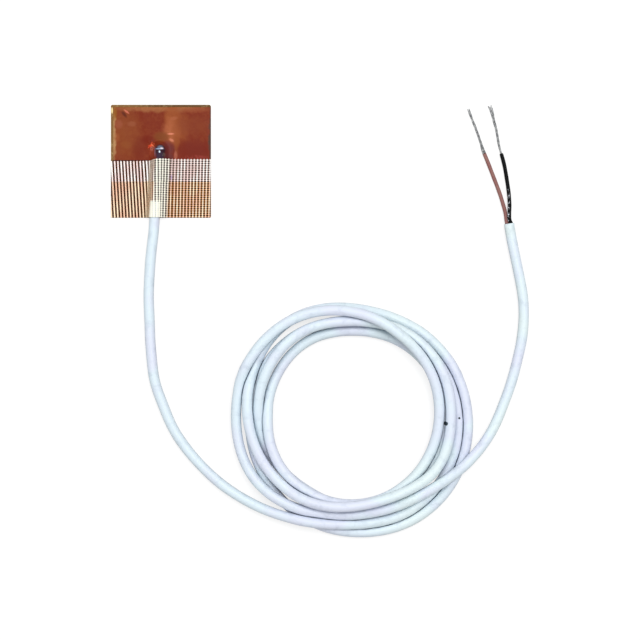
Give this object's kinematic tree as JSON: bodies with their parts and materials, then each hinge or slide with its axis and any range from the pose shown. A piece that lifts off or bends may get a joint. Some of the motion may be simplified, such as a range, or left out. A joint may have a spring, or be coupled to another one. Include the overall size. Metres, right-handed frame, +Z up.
{
  "type": "self-adhesive thermistor sensor",
  "caption": "Flat square film patch with a thermistor bead under it, a woven glass strip over its cable, and a thin round cable in a loose coil with stripped ends.",
  "frame": {"origin": "middle of the patch's adhesive face", "axes": "+Z up out of the surface that the patch is stuck to, +Y along the patch away from the cable, +X across the patch"},
  "size_m": [0.106, 0.1106, 0.0076],
  "materials": {
    "adhesive": "clear amber acrylic adhesive",
    "base_film": "translucent amber film",
    "cover_film": "translucent amber film over a dark red backing",
    "glass_cloth": "plain woven glass yarns",
    "chip_ceramic": "sintered ceramic",
    "bead_epoxy": "dipped epoxy",
    "lead_wire": "tinned wire",
    "solder": "bright solder",
    "sleeve": "white tubing",
    "cable_jacket": "satin cold white PVC",
    "red_insulation": "satin dull red",
    "black_insulation": "satin black",
    "tinned_copper": "tinned strands"
  },
  "bodies": {
    "root": {"adhesive_layer": "adhesive", "base_film": "base_film", "cover_film": "cover_film", "glass_cloth": "glass_cloth", "thermistor_chip": "chip_ceramic", "bead_coating": "bead_epoxy", "left_lead": "lead_wire", "right_lead": "lead_wire", "left_solder_joint": "solder", "right_solder_joint": "solder", "left_splice_sleeve": "sleeve", "right_splice_sleeve": "sleeve", "red_core_sensor_end": "red_insulation", "black_core_sensor_end": "black_insulation", "red_conductor_sensor_end": "tinned_copper", "black_conductor_sensor_end": "tinned_copper", "jacket_sensor_end": "cable_jacket", "patch_tail": "cable_jacket", "cable_coil": "cable_jacket", "free_tail": "cable_jacket", "red_core": "red_insulation", "black_core": "black_insulation", "red_conductor": "tinned_copper", "black_conductor": "tinned_copper"}
  },
  "joints": []
}
